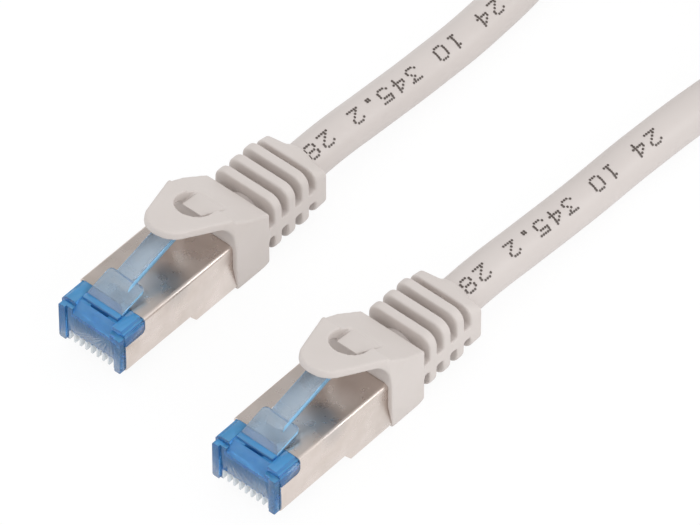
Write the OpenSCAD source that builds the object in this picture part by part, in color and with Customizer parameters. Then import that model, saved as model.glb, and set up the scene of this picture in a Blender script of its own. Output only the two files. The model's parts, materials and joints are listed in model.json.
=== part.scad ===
// Shielded ethernet patch cable: two 8-way modular plugs, their kinked boots and one round lead.
// Each plug is drawn in its own frame: X across, Y from the nose back to the lead, Z up,
// with zero on the centre line, at the nose and at the underside of the contact end.

/* [Plug] */
// Width over the metal shield
plug_w = 11.7; // [11.4:0.05:12]
// Height of the shield's top above the contact end's underside
plug_h = 7.3; // [7.1:0.05:7.6]
// How far the rear of the plug drops below the contact end
rear_drop = 1.6; // [1.2:0.1:1.9]
// Distance from the nose to the start of that drop
drop_start = 14; // [13.5:0.1:15]
// Length of the sloped stretch of the drop
drop_run = 1.3; // [1:0.1:1.6]
// Rounding of the plug's long edges
edge_r = 0.6; // [0.5:0.05:0.8]

/* [Shield] */
// Sheet thickness
shell_t = 0.25; // [0.2:0.05:0.3]
// Gap between sheet metal and plastic
shell_gap = 0.05; // [0.03:0.01:0.1]
// Front edge of the side walls, from the nose
side_front = 0.95; // [0.9:0.05:1.2]
// Front edge of the top, from the nose
top_front = 4.75; // [4.6:0.05:5]
// Height at which the side walls are cut back for the nose lugs
notch_z = 4.9; // [4.6:0.1:5.2]
// Corner radius of that cut
notch_r = 0.8; // [0.4:0.1:1]
// Front edge of the floor, behind the contacts
floor_front = 8.6; // [8:0.1:10]
// Width of the folded edges beside the contacts
lip_w = 0.9; // [0.7:0.1:1.1]
// End of the box part, from the nose
box_end = 23.4; // [23:0.1:23.8]
// Length of the crimp barrel behind the box
barrel_len = 5.2; // [4:0.1:5.4]

/* [Housing] */
// End of the plastic body, from the nose
body_end = 20; // [19:0.1:21]
// How far the cheek tops lie below the shield's top
cheek_drop = 0.9; // [0.7:0.1:1.1]
// Width of each cheek
cheek_w = 1.15; // [1:0.05:1.3]
// Setback of the front wall between the cheeks
face_setback = 0.35; // [0.2:0.05:0.5]
// Half width of the gap between the two lugs
lug_inner = 3.35; // [3.3:0.05:3.6]
// How far the lugs stand out past the body's sides
lug_proud = 0.22; // [0.15:0.01:0.25]
// Bevel along the outer top edge of a lug
lug_bevel = 0.85; // [0.6:0.05:1]
// Bevel of the front wall's top edge
face_bevel = 1.5; // [1.2:0.1:1.7]

/* [Contacts] */
// Number of contacts
ways = 8; // [8:1:8]
// Distance from one contact to the next
pitch = 1.02; // [1:0.01:1.04]
// Blade thickness
blade_t = 0.34; // [0.3:0.01:0.36]
// Width of the slot that a mating spring enters
slot_w = 0.72; // [0.66:0.01:0.74]
// Height of the slots at the nose
slot_h = 1.9; // [1.7:0.1:2.1]
// Front of the blades, from the nose
blade_front = 1.7; // [1.5:0.1:1.9]
// Length of the blades
blade_len = 4.4; // [4:0.1:4.6]
// Height of the blades' lower edge
blade_low = 0.45; // [0.4:0.05:0.6]
// Height of the blades' shoulder below the wires
blade_shoulder = 3.2; // [3:0.1:3.6]
// Number of piercing teeth on a blade
teeth = 3; // [2:1:3]
// Diameter of an insulated wire
wire_d = 0.94; // [0.9:0.01:0.96]
// Diameter of a copper core
core_d = 0.4; // [0.36:0.01:0.48]
// Height of the wires where the teeth pierce them
wire_z = 4.6; // [4.5:0.1:4.8]
// Gap between the blades and the wire guide
guide_gap = 1.2; // [1:0.1:1.4]
// Length of the wire guide
guide_len = 6; // [5:0.1:6.4]
// Length over which the wires run from the guide to their pairs
fan_len = 5; // [4.6:0.1:5.4]

/* [Latch] */
// Half width of the hinge end, up to the shoulders
latch_half = 3.15; // [3:0.05:3.2]
// Half width of the lever behind the shoulders
lever_half = 1.6; // [1.5:0.05:1.7]
// Hinge axis, from the nose
latch_axis_y = 3.45; // [3.4:0.05:3.5]
// Height of the hinge axis above the shield's top
latch_lift = 0.15; // [0.1:0.01:0.2]
// Radius of the hinge roll
latch_roll = 0.3; // [0.28:0.01:0.32]
// Distance from the nose to the locking shoulders
shoulder_y = 7.9; // [7.6:0.1:8.4]
// Rise of the latch, degrees
latch_rise = 15.5; // [15:0.1:16]
// Thickness of the plate in front of the shoulders
plate_t = 0.7; // [0.6:0.05:0.75]
// Thickness of the lever
lever_t = 1.0; // [0.9:0.05:1.05]
// Step from the plate's top up to the lever's top
lever_step = 0.75; // [0.7:0.05:0.8]
// Start of the step, from the nose
step_y = 6; // [5.8:0.1:6.2]
// End of the lever, from the nose
lever_end = 16.7; // [16.4:0.1:16.8]

/* [Boot] */
// Front face, from the nose
boot_front = 22.35; // [22.2:0.05:22.5]
// Rear face, from the nose
boot_rear = 30.15; // [30:0.05:30.4]
// Half width at the front
boot_half = 6.65; // [6.5:0.05:6.8]
// Half width at the rear
boot_rear_half = 5.7; // [5.6:0.05:5.9]
// Height of the rear face's top edge
boot_rear_top = 7.3; // [7.1:0.1:7.6]
// Wall below the plug
boot_floor = 0.5; // [0.4:0.05:0.6]
// Height of the crease along the sides
crease_z = 3; // [2.6:0.1:3.4]
// How far the front face leans back below the crease
front_rake = 1; // [0.8:0.1:1.2]
// Taper of the sides below the crease
tuck = 0.8; // [0.6:0.05:0.9]
// Fit of the boot on the plug and on the lead
boot_fit = 0.05; // [0.03:0.01:0.08]
// Wall of the sleeve round the lead
sleeve_wall = 0.5; // [0.45:0.05:0.6]

/* [Ribs] */
// Number of strain relief ribs
ribs = 3; // [2:1:3]
// Thickness of a rib
rib_t = 1.5; // [1.4:0.05:1.6]
// Slot between two ribs
rib_gap = 1.3; // [1.2:0.05:1.4]
// Half width of the ribs
rib_half = 5.5; // [5.3:0.05:5.6]
// Corner radius of the ribs
rib_r = 1.9; // [1.6:0.1:2.2]
// Height of the ribs' top
rib_top = 8.1; // [7.8:0.1:8.4]
// Thickness of the side webs
web_t = 1.3; // [1.1:0.1:1.5]
// Lower edge of the side webs
web_low = 2; // [1.8:0.1:2.2]
// Height of the side webs
web_h = 2; // [1.8:0.1:2.2]
// Thickness of the collar
collar_t = 2.25; // [2.1:0.05:2.4]
// Height of the collar's front edge
collar_top = 7.3; // [7.1:0.1:7.5]
// Height of the wings at the collar's rear edge
wing_top = 6.1; // [5.9:0.1:6.3]
// Wall of the collar's arch over the lead
arch_t = 1.2; // [1:0.05:1.3]
// How far the arch falls to the collar's rear edge
arch_fall = 0.45; // [0.3:0.05:0.5]
// Length of the round end behind the collar
collar_len = 0.65; // [0.55:0.05:0.75]

/* [Hood] */
// Hinge axis, from the nose
hood_axis_y = 21.9; // [21.8:0.05:22]
// Height of the hinge axis above the shield's top
hood_lift = 4.4; // [4.35:0.01:4.45]
// Thickness of the hood
hood_t = 1.3; // [1.2:0.02:1.32]
// Rise of the hood towards its tip, degrees
hood_rise = 14; // [13.5:0.1:14.5]
// Half width at the root
hood_half = 5.8; // [5.7:0.05:5.9]
// Tip of the hood, from the nose
hood_tip = 13.05; // [13:0.05:13.3]
// Radius of the tip
tip_r = 3.6; // [3.4:0.1:3.8]
// Half width of the opening at the root
window_half = 2.8; // [2.7:0.05:2.9]
// Front of the opening, from the nose
window_front = 18.5; // [18.4:0.05:18.7]
// Half width of the thumb ramp at its front
ramp_half = 1.75; // [1.6:0.05:1.8]
// Half width of the thumb ramp at its rear
ramp_rear_half = 2.6; // [2.5:0.05:2.7]
// Front of the thumb ramp, from the nose
ramp_front = 20.75; // [20.7:0.05:20.9]
// Rear of the thumb ramp, from the nose
ramp_rear = 25.5; // [25.3:0.1:25.7]

/* [Lead] */
// Outer diameter of the jacket
lead_d = 6.4; // [6.2:0.05:6.5]
// Height of the lead's axis in the boot
lead_z = 2.95; // [2.8:0.05:3.1]
// Jacket thickness
jacket_t = 0.45; // [0.4:0.05:0.5]
// Start of the jacket, from the nose
jacket_start = 25; // [24.8:0.1:25.2]
// Distance between the two plugs' centre lines
plug_gap = 32.2; // [31.5:0.1:40]
// How far the right plug is set forward
plug_shift = 5.2; // [4:0.1:6]

/* [Hank] */
// Length of the straight runs between the folds
run_len = 27; // [26:0.5:36]
// Distance between the centre lines of the inner runs
inner_w = 39; // [38.8:0.1:42]
// Step from the inner runs to the outer ones
pass_step = 7.2; // [7.1:0.05:7.6]
// Height of one layer
layer_h = 7; // [6.95:0.05:7.4]
// How far the near folds of the outer runs lie ahead of the inner one
near_push = 6; // [5.5:0.5:8]
// How far the tie draws the runs in, on each side
waist = 1.3; // [1:0.1:1.5]
// Near end of the hank, from the object's origin
hank_near = 92; // [90:1:100]
// Width of the tie
tie_w = 12; // [8:1:14]
// Thickness of the tie
tie_t = 1.2; // [1:0.1:1.4]
// Length of the tie's end laid back over it
tie_tail = 24; // [16:1:30]

/* [Hidden] */
$fn = 48;
eps = 0.01;      // overlap that joins pieces of one solid
over = 1;        // how far a cut runs past what it cuts
run_fit = 0.05;  // radial clearance of a hinge roll in its groove

// --- derived places, plug frame ---
body_in = shell_t + shell_gap;
body_half = plug_w / 2 - body_in;
latch_axis_z = plug_h + latch_lift;
hood_axis_z = plug_h + hood_lift;
body_top = plug_h - body_in;
lug_half = body_half + lug_proud;
boot_low = -rear_drop - boot_floor;
rib_low = boot_low + 0.6;
collar_low = rib_low + 0.6;
wing_low = collar_low + 0.9;
lead_r = lead_d / 2;
sleeve_r = lead_r + boot_fit + sleeve_wall;
braid_in = lead_r - jacket_t - 0.12;
braid_t = 0.08;
fold_t = 0.3;
fold_r = lead_r + 0.04;
barrel_r = fold_r + fold_t + 0.04;
foil_t = 0.06;
foil_r = wire_d + 0.07;
pair_ring = (foil_r + 0.02) * sqrt(2);
rib_pitch = rib_t + rib_gap;
collar_y = boot_rear + rib_gap + ribs * rib_pitch;
plug_len = collar_y + collar_t + collar_len;
slope_y = hood_axis_y - 0.15;
slope_z = hood_axis_z + 0.66;
place_a = [-plug_gap / 2, (plug_shift - plug_len) / 2, -boot_low];
place_b = [plug_gap / 2, -(plug_shift + plug_len) / 2, -boot_low];

// --- small helpers ---
module along_y(from, to) {
    translate([0, to, 0]) rotate([90, 0, 0]) linear_extrude(to - from) children();
}
module along_x(half) {
    translate([-half, 0, 0]) rotate([90, 0, 90]) linear_extrude(2 * half) children();
}
module tube_y(r, from, to) {
    translate([0, from, 0]) rotate([-90, 0, 0]) cylinder(h = to - from, r = r);
}
module rounded(half, low, top, r) {
    translate([-half + r, low]) square([2 * (half - r), top - low]);
    translate([-half, low + r]) square([2 * half, top - low - 2 * r]);
    for (x = [-1, 1], z = [low + r, top - r]) translate([x * (half - r), z]) circle(r);
}
module both_sides() {
    children();
    mirror([1, 0, 0]) children();
}

// The plug's outer form shrunk by inset on every side, between two places along Y.
module plug_form(inset, from, to) {
    half = plug_w / 2 - inset;
    r = edge_r - inset;
    low = -rear_drop + inset;
    slide = inset * tan(atan2(rear_drop, drop_run) / 2);
    along_y(from, to) rounded(half, inset, plug_h - inset, r);
    intersection() {
        along_y(from, to) rounded(half, low, plug_h - inset, r);
        along_x(half) polygon([
            [drop_start + slide, inset], [drop_start + drop_run + slide, low],
            [to, low], [to, plug_h / 2], [drop_start + slide, plug_h / 2]]);
    }
}

// --- shield ---
module shield() color([0.80, 0.78, 0.76]) difference() {
    union() {
        difference() {
            plug_form(0, side_front, box_end);
            plug_form(shell_t, side_front - over, box_end - shell_t);
        }
        translate([0, 0, lead_z]) tube_y(barrel_r + shell_t, box_end - shell_t, box_end + barrel_len);
    }
    translate([0, 0, lead_z]) tube_y(barrel_r, box_end - over, box_end + barrel_len + over);
    along_x(plug_w) union() {
        square_cut = top_front - notch_r;
        translate([-over, notch_z]) square([square_cut + over, plug_h]);
        translate([-over, notch_z + notch_r]) square([top_front + over, plug_h]);
        translate([square_cut, notch_z + notch_r]) circle(notch_r);
    }
    translate([-plug_w / 2 + lip_w, 0, -over]) cube([plug_w - 2 * lip_w, floor_front, 2 * over]);
}

// --- housing ---
module lug_block() {
    rear = top_front - shell_gap;
    intersection() {
        translate([lug_inner, side_front, notch_z + shell_gap])
            cube([lug_half - lug_inner, rear - side_front, plug_h - notch_z - shell_gap]);
        along_y(side_front, rear) polygon([
            [0, 0], [lug_half, 0], [lug_half, plug_h - lug_bevel],
            [lug_half - lug_bevel, plug_h], [0, plug_h]]);
        along_x(plug_w) union() {
            translate([0, notch_z + notch_r]) square([rear, plug_h]);
            translate([0, 0]) square([rear - notch_r, plug_h]);
            translate([rear - notch_r, notch_z + notch_r]) circle(notch_r - shell_gap);
        }
    }
}
module hinge_ridge() {
    front = latch_axis_y - 1.2;
    difference() {
        translate([-latch_half, front, body_top - over])
            cube([2 * latch_half, latch_axis_y - front, latch_axis_z - body_top + over + 0.1]);
        translate([-plug_w / 2, latch_axis_y, latch_axis_z])
            rotate([0, 90, 0]) cylinder(h = plug_w, r = latch_roll + run_fit);
    }
}
module contact_slot() {
    slot_end = blade_front + blade_len + 0.1;
    translate([-slot_w / 2, -over, -over]) cube([slot_w, slot_end + over, slot_h + over]);
    translate([-blade_t / 2, blade_front, -over]) cube([blade_t, blade_len, wire_z + over]);
}
cavity_low = wire_z - wire_d / 2 - 0.02;
cavity_top = wire_z + wire_d / 2 + 0.02;
cavity_half = ways * pitch / 2 + 0.1;
foot_half = plug_w / 2 - lip_w - shell_gap;
foot_gap = 0.6;
bundle_r = pair_ring + foil_r + 0.06;
guide_front = blade_front + blade_len + guide_gap;
guide_end = guide_front + guide_len;
guide_lift = 0.7;
module housing() color([0.12, 0.38, 0.72, 0.6]) difference() {
    union() {
        difference() {
            union() {
                plug_form(body_in, side_front - eps, body_end);
                along_y(0, side_front) rounded(body_half, 0, plug_h - cheek_drop, 0.35);
                // underside level with the shield's, between its folded edges
                translate([-foot_half, face_setback, 0])
                    cube([2 * foot_half, floor_front - foot_gap - face_setback, cavity_low - guide_lift]);
            }
            // front wall set back between the cheeks, with its top edge bevelled
            translate([-body_half + cheek_w, -over, -over])
                cube([2 * (body_half - cheek_w), face_setback + over, plug_h + 2 * over]);
            along_x(lug_inner) polygon([
                [-over, body_top - face_bevel - face_setback - over], [face_bevel + face_setback, body_top],
                [face_bevel + face_setback, plug_h + over], [-over, plug_h + over]]);
        }
        both_sides() lug_block();
        hinge_ridge();
    }
    for (i = [0:ways - 1]) translate([(i - (ways - 1) / 2) * pitch, 0, 0]) contact_slot();
    translate([-cavity_half, blade_front - 0.2, cavity_low])
        cube([2 * cavity_half, body_end, cavity_top - cavity_low]);
    translate([-cavity_half, guide_front - shell_gap, cavity_low - guide_lift])
        cube([2 * cavity_half, body_end, cavity_top - cavity_low + 2 * guide_lift]);
    translate([-cavity_half, guide_end, lead_z - bundle_r]) cube([2 * cavity_half, body_end, 2 * bundle_r]);
    // narrow window in front of the hinge
    translate([-lever_half, face_bevel + face_setback + 0.1, body_top - 1.1]) cube([2 * lever_half, 0.3, 2]);
}

// --- latch, pressed down about its hinge roll ---
latch_lean = tan(latch_rise);
latch_relief = 0.12;  // keeps the pressed latch off the shield's front edge
function latch_top(y) = latch_axis_z + latch_roll + (y - latch_axis_y) * latch_lean;
module latch() color([0.70, 0.82, 0.93, 0.6]) {
    nose = latch_axis_y;
    lever_drop = lever_t / cos(latch_rise);
    round_r = 0.7;
    union() {
        translate([-latch_half, latch_axis_y, latch_axis_z]) rotate([0, 90, 0])
            cylinder(h = 2 * latch_half, r = latch_roll);
        intersection() {
            along_x(latch_half) polygon([
                [nose, latch_top(nose)], [shoulder_y, latch_top(shoulder_y)],
                [shoulder_y, latch_top(shoulder_y) - plate_t], [nose + 1, latch_axis_z + latch_relief],
                [nose, latch_axis_z - latch_roll]]);
            linear_extrude(4 * plug_h) {
                translate([-latch_half, 0]) square([2 * latch_half, shoulder_y - round_r]);
                translate([-latch_half + round_r, 0]) square([2 * (latch_half - round_r), shoulder_y]);
                both_sides() translate([latch_half - round_r, shoulder_y - round_r]) circle(round_r);
            }
        }
        along_x(lever_half) polygon([
            [step_y, latch_top(step_y) - plate_t / 2], [step_y, latch_top(step_y)],
            [step_y + 0.5, latch_top(step_y + 0.5) + lever_step],
            [lever_end, latch_top(lever_end) + lever_step],
            [lever_end, latch_top(lever_end) + lever_step - lever_drop],
            [shoulder_y, latch_top(shoulder_y) + lever_step - lever_drop]]);
    }
}

// --- contacts and wires ---
module blade() {
    tooth = blade_len / (2 * teeth - 1);
    top = wire_z + core_d / 2 + 0.1;
    nose_r = 0.6;
    translate([-blade_t / 2, 0, 0]) rotate([90, 0, 90]) linear_extrude(blade_t) difference() {
        union() {
            translate([blade_front, blade_low]) square([blade_len, blade_shoulder - blade_low]);
            for (i = [0:teeth - 1]) polygon([
                [blade_front + 2 * i * tooth, blade_shoulder - eps],
                [blade_front + (2 * i + 1) * tooth, blade_shoulder - eps],
                [blade_front + (2 * i + 1) * tooth, top - tooth / 2],
                [blade_front + (2 * i + 0.5) * tooth, top],
                [blade_front + 2 * i * tooth, top - tooth / 2]]);
        }
        difference() {
            translate([blade_front - over, blade_low - over]) square(nose_r + over);
            translate([blade_front + nose_r, blade_low + nose_r]) circle(nose_r);
        }
    }
}
function pin_x(i) = (i - (ways - 1) / 2) * pitch;
module contacts() color([0.90, 0.72, 0.30])
    for (i = [0:ways - 1]) translate([pin_x(i), 0, 0]) blade();

module wire_guide() color([0.85, 0.90, 0.95, 0.5]) difference() {
    translate([-cavity_half + shell_gap, guide_front, cavity_low - guide_lift + shell_gap])
        cube([2 * (cavity_half - shell_gap), guide_end - guide_front,
              cavity_top - cavity_low + 2 * (guide_lift - shell_gap)]);
    for (i = [0:ways - 1]) translate([pin_x(i), 0, wire_z])
        tube_y(wire_d / 2 + 0.015, guide_front - over, guide_end + over);
}

// A wire lies straight as far as fan_start and then runs to its place in a pair, at angle turn
// about the lead's axis, on the pair's left or right side.
fan_start = guide_end + 0.2;
fan_end = fan_start + fan_len;
wire_start = blade_front - 0.1;
bore_fit = 0.03;
function wire_path(i, turn, side) =
    let (from = [pin_x(i), 0, wire_z],
         to = [pair_ring * cos(turn) + side * (wire_d / 2 + 0.02), 0, lead_z + pair_ring * sin(turn)])
    concat(
        [for (t = [0:0.25:1]) from + (to - from) * t * t * (3 - 2 * t)
            + [0, fan_start + t * (fan_end - fan_start), 0]],
        [to + [0, plug_len, 0]]);
module insulation(i, turn, side) {
    difference() {
        translate([pin_x(i), 0, wire_z]) difference() {
            tube_y(wire_d / 2, wire_start, fan_start + eps);
            tube_y(core_d / 2 + bore_fit, wire_start - over, fan_start + over);
        }
        translate([pin_x(i), 0, 0]) blade();
    }
    hollow_sweep(wire_path(i, turn, side), wire_d / 2 - eps, core_d / 2 + bore_fit + eps, 8);
}
module core(i, turn, side) difference() {
    sweep(concat([[pin_x(i), wire_start, wire_z]], wire_path(i, turn, side)), core_d / 2, 6,
          [0, 1, 0], [0, 1, 0]);
    translate([pin_x(i), 0, 0]) blade();
}
// pins of each pair, with the pair's place round the lead's axis
PAIRS = [[0, 1, 180], [2, 5, 270], [3, 4, 90], [6, 7, 0]];
module pair(p, tint) color(tint) for (k = [0, 1]) insulation(p[k], p[2], 2 * k - 1);
module cores() color([0.85, 0.50, 0.32]) for (p = PAIRS, k = [0, 1]) core(p[k], p[2], 2 * k - 1);
module pair_foils() color([0.82, 0.83, 0.85]) for (p = PAIRS)
    translate([pair_ring * cos(p[2]), 0, lead_z + pair_ring * sin(p[2])]) difference() {
        tube_y(foil_r + 0.01, fan_end + 0.8, plug_len);
        tube_y(foil_r + 0.01 - foil_t, fan_end, plug_len + over);
    }
// The braid lies under the jacket and is folded back over its end.
module braid() color([0.70, 0.70, 0.68]) translate([0, 0, lead_z]) difference() {
    union() {
        tube_y(braid_in + braid_t, jacket_start - 0.6, plug_len);
        tube_y(fold_r + fold_t, jacket_start - 0.6, jacket_start - 0.1);
        difference() {
            tube_y(fold_r + fold_t, jacket_start - 0.6, box_end + barrel_len - 0.4);
            tube_y(fold_r, jacket_start - 0.1, box_end + barrel_len);
        }
    }
    tube_y(braid_in, jacket_start - over, plug_len + over);
}
module jacket_end() color([0.83, 0.80, 0.78]) translate([0, 0, lead_z]) difference() {
    tube_y(lead_r, jacket_start, plug_len);
    tube_y(lead_r - jacket_t, jacket_start - over, plug_len + over);
}

// --- boot ---
module boot_block() {
    mid = (boot_low + boot_rear_top) / 2;
    intersection() {
        along_x(boot_half) polygon([
            [boot_front + front_rake, boot_low], [boot_rear, boot_low], [boot_rear, boot_rear_top],
            [slope_y, slope_z], [hood_axis_y, hood_axis_z - hood_t], [boot_front, hood_axis_z - hood_t],
            [boot_front, crease_z]]);
        along_y(hood_axis_y - over, boot_rear) polygon([
            [-boot_half + tuck, boot_low], [boot_half - tuck, boot_low], [boot_half, crease_z],
            [boot_half, plug_h], [hood_half, slope_z], [-hood_half, slope_z], [-boot_half, plug_h],
            [-boot_half, crease_z]]);
        translate([0, 0, mid - 2 * plug_h]) linear_extrude(4 * plug_h) polygon([
            [-boot_half, slope_y - over], [boot_half, slope_y - over], [boot_half, boot_front],
            [boot_rear_half, boot_rear], [-boot_rear_half, boot_rear], [-boot_half, boot_front]]);
    }
}
module rib(y, t) {
    along_y(y, y + t) rounded(rib_half, rib_low, rib_top, rib_r);
}
// The collar arches over the lead, and its outline goes from a round one in front to two sharp wings behind.
module collar() {
    slice = 0.2;
    wing_r = 0.8;
    rear_y = collar_y + collar_t;
    hull() {
        along_y(collar_y, collar_y + slice) rounded(rib_half, collar_low, collar_top, rib_r);
        along_y(rear_y - slice, rear_y) rounded(rib_half, wing_low, wing_top, wing_r);
        translate([0, 0, lead_z]) {
            tube_y(lead_r + arch_t, collar_y, collar_y + slice);
            tube_y(lead_r + arch_t - arch_fall, rear_y - slice, rear_y);
        }
    }
}
module ramp() {
    rise = 0.35;
    front_z = hood_axis_z + 0.15;
    rear_z = slope_z - (ramp_rear - slope_y) * (slope_z - boot_rear_top) / (boot_rear - slope_y);
    intersection() {
        along_x(ramp_rear_half) polygon([
            [ramp_front, front_z], [ramp_front, front_z - rise], [boot_front, hood_axis_z - hood_t - 1],
            [ramp_rear, boot_rear_top], [ramp_rear, rear_z]]);
        linear_extrude(4 * plug_h) polygon([
            [-ramp_half, ramp_front], [ramp_half, ramp_front], [ramp_rear_half, ramp_rear],
            [-ramp_rear_half, ramp_rear]]);
    }
}
module window(wide) {
    linear_extrude(4 * plug_h) {
        polygon([
            [-wide, window_front + wide], [-ramp_rear_half, ramp_rear], [ramp_rear_half, ramp_rear],
            [wide, window_front + wide]]);
        intersection() {
            translate([0, window_front + wide]) circle(wide);
            translate([-wide, 0]) square([2 * wide, window_front + wide]);
        }
    }
}
module boot() color([0.83, 0.80, 0.78]) difference() {
    union() {
        difference() {
            boot_block();
            // groove of the hood's root and the hollow round the thumb ramp
            translate([-boot_half - over, hood_axis_y, hood_axis_z])
                rotate([0, 90, 0]) cylinder(h = 2 * (boot_half + over), r = hood_t / 2 + run_fit);
            translate([0, 0, hood_axis_z - hood_t]) window(window_half);
        }
        ramp();
        for (i = [0:ribs - 1]) rib(boot_rear + rib_gap + i * rib_pitch, rib_t);
        collar();
        translate([0, 0, lead_z]) tube_y(sleeve_r, collar_y + eps, plug_len);
        both_sides() translate([rib_half - web_t, boot_rear - 0.5, web_low])
            cube([web_t, collar_y - boot_rear + 1, web_h]);
    }
    plug_form(-boot_fit, boot_front - over, box_end + 0.1);
    translate([0, 0, lead_z]) tube_y(barrel_r + shell_t + boot_fit, boot_front, box_end + barrel_len + 0.3);
    translate([0, 0, lead_z]) tube_y(lead_r + boot_fit, boot_front, plug_len + over);
}

// --- hood, pressed down on the latch ---
module hood() color([0.83, 0.80, 0.78]) difference() {
    skin = 0.02; // keeps the plate's faces just inside the round ones that they run into
    union() {
        translate([-hood_half, hood_axis_y, hood_axis_z]) rotate([0, 90, 0])
            cylinder(h = 2 * hood_half, r = hood_t / 2);
        translate([0, hood_axis_y, hood_axis_z]) rotate([-hood_rise, 0, 0])
            translate([0, 0, skin - hood_t / 2]) linear_extrude(hood_t - 2 * skin) {
                reach = (hood_axis_y - hood_tip) / cos(hood_rise);
                tip = -reach + tip_r;
                lean = atan2(hood_half - tip_r, -tip);
                side = tip_r - skin;
                polygon([
                    [-hood_half + skin, 0], [hood_half - skin, 0],
                    [side * cos(lean), tip - side * sin(lean)],
                    [-side * cos(lean), tip - side * sin(lean)]]);
                translate([0, tip]) circle(tip_r);
            }
    }
    translate([0, 0, hood_axis_z - 4 * hood_t]) window(window_half);
}

// --- the lead: two free stretches and a tied hank ---
exit_a = place_a + [0, plug_len, lead_z];
exit_b = place_b + [0, plug_len, lead_z];
half_in = inner_w / 2;
half_out = half_in + pass_step;
near_y = hank_near + near_push + (half_in + half_out) / 2 + lead_r;
far_y = near_y + run_len;
mid_y = (near_y + far_y) / 2;
tie_gap = 0.1;
// eight runs, left and right in turn, in two layers
RUN_HALF = [half_out, half_out, half_in, half_in, half_in, half_in, half_out, half_out];
RUN_LAYER = [0, 0, 0, 0, 1, 1, 1, 1];
runs = len(RUN_HALF);
hank_end_y = near_y - near_push - lead_d;
// route of each free stretch from its boot, in round numbers
route_a = [[-16.1, 38, 4.4], [-16.1, 50, 3.5], [-16.2, 62, 3.2], [-17.5, 76, 3.2], [-21.2, 89, 3.2],
           [-25, 99, 3.2]];
route_b = [[16.1, 33, 4.4], [16.1, 45, 3.5], [16.2, 58, 3.2], [17.4, 72, 3.6], [21, 86, 5.8],
           [25, 98, 8.8]];

// how far the tie draws a run in, and how far its strap lifts the hank off the floor
settle_len = mid_y - hank_end_y - tie_w / 2;
function bulge(y) = let (d = 2 * (y - mid_y) / run_len) abs(d) < 1 ? waist * (1 + cos(180 * d)) / 2 : 0;
function lift(y) = let (d = (abs(y - mid_y) - tie_w / 2) / settle_len)
    (tie_t + tie_gap) * (d < 0 ? 1 : d < 1 ? (1 + cos(180 * d)) / 2 : 0);
function run_z(k) = lead_r + RUN_LAYER[k] * layer_h;
function near_end(k) =
    k == 0 || k == runs - 1 ? hank_end_y : abs(k - (runs - 1) / 2) < 1 ? near_y : near_y - near_push;
function run_points(k, n) =
    let (out = k % 2 == 0, from = out ? near_end(k) : far_y, to = out ? far_y : near_end(k))
    [for (i = [0:n]) let (y = from + (to - from) * i / n)
        [(out ? -1 : 1) * (RUN_HALF[k] - bulge(y)), y, run_z(k) + lift(y)]];
function fold_points(k, n) =
    let (out = k % 2 == 0, r = (RUN_HALF[k] + RUN_HALF[k + 1]) / 2, side = out ? 1 : -1,
         mid = side * (RUN_HALF[k + 1] - RUN_HALF[k]) / 2, from = out ? far_y : near_end(k))
    [for (i = [1:n - 1]) let (t = 180 * i / n, y = from + side * r * sin(t))
        [mid - side * r * cos(t), y, run_z(k) + (run_z(k + 1) - run_z(k)) * (1 - cos(t)) / 2 + lift(y)]];
// fine multiplies the number of points in every run and fold
function hank_points(fine) = concat(
    [for (k = [0:runs - 2]) each concat(run_points(k, 4 * fine), fold_points(k, 8 * fine))],
    run_points(runs - 1, 4 * fine));
function length_of(p) =
    let (n = len(p) - 1) [for (i = [0:n - 1]) norm(p[i + 1] - p[i])] * [for (i = [0:n - 1]) 1];

function ring(p, t, r, sides) =
    let (f = t / norm(t), u = cross([0, 0, 1], f), a = u / norm(u), b = cross(f, a))
    [for (k = [0:sides - 1]) let (w = (k + 0.5) * 360 / sides) p + r * (a * cos(w) - b * sin(w))];
function tangent(pts, i) = pts[min(i + 1, len(pts) - 1)] - pts[max(i - 1, 0)];
function spline(p, i, t) =
    let (n = len(p) - 1, a = p[max(i - 1, 0)], b = p[i], c = p[min(i + 1, n)], d = p[min(i + 2, n)])
    0.5 * (2 * b + (c - a) * t + (2 * a - 5 * b + 4 * c - d) * t * t + (3 * b - a - 3 * c + d) * t * t * t);
function rings(pts, r, sides, end_a, end_b) = [for (i = [0:len(pts) - 1])
    each ring(pts[i], i == 0 ? end_a : i == len(pts) - 1 ? end_b : tangent(pts, i), r, sides)];
// Faces between ring i and ring i + 1 of a wall whose first vertex is number base.
function wall(n, sides, base, flip) = [for (i = [0:n - 2], k = [0:sides - 1])
    let (a = base + i * sides + k, b = base + i * sides + (k + 1) % sides)
    each flip ? [[b, a, a + sides], [b + sides, b, a + sides]]
              : [[a, b, a + sides], [b, b + sides, a + sides]]];
// A closed tube with flat ends along a list of points; end_a and end_b are the end directions.
module sweep(pts, r, sides, end_a, end_b) {
    n = len(pts);
    last = (n - 1) * sides;
    cap_a = [for (k = [1:sides - 2]) [0, k + 1, k]];
    cap_b = [for (k = [1:sides - 2]) [last, last + k, last + k + 1]];
    polyhedron(points = rings(pts, r, sides, end_a, end_b),
               faces = concat(wall(n, sides, 0, false), cap_a, cap_b));
}
// The same with a bore, and with both ends square to Y.
module hollow_sweep(pts, r, bore, sides) {
    n = len(pts);
    inner = n * sides;
    last = (n - 1) * sides;
    square_end = [0, 1, 0];
    cap_a = [for (k = [0:sides - 1]) let (m = (k + 1) % sides)
        each [[m, k, inner + k], [inner + m, m, inner + k]]];
    cap_b = [for (k = [0:sides - 1]) let (m = (k + 1) % sides, o = last, q = inner + last)
        each [[o + k, o + m, q + k], [o + m, q + m, q + k]]];
    polyhedron(
        points = concat(rings(pts, r, sides, square_end, square_end),
                        rings(pts, bore, sides, square_end, square_end)),
        faces = concat(wall(n, sides, 0, false), wall(n, sides, inner, true), cap_a, cap_b));
}
function lead_points(exit, route, end) =
    let (along = concat([exit, exit + [0, lead_d, 0]], route, [end - [0, lead_d, 0], end]))
    concat([for (i = [0:len(along) - 2], t = [0, 0.5]) spline(along, i, t)], [end]);
fine_hank = hank_points(3);
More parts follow.
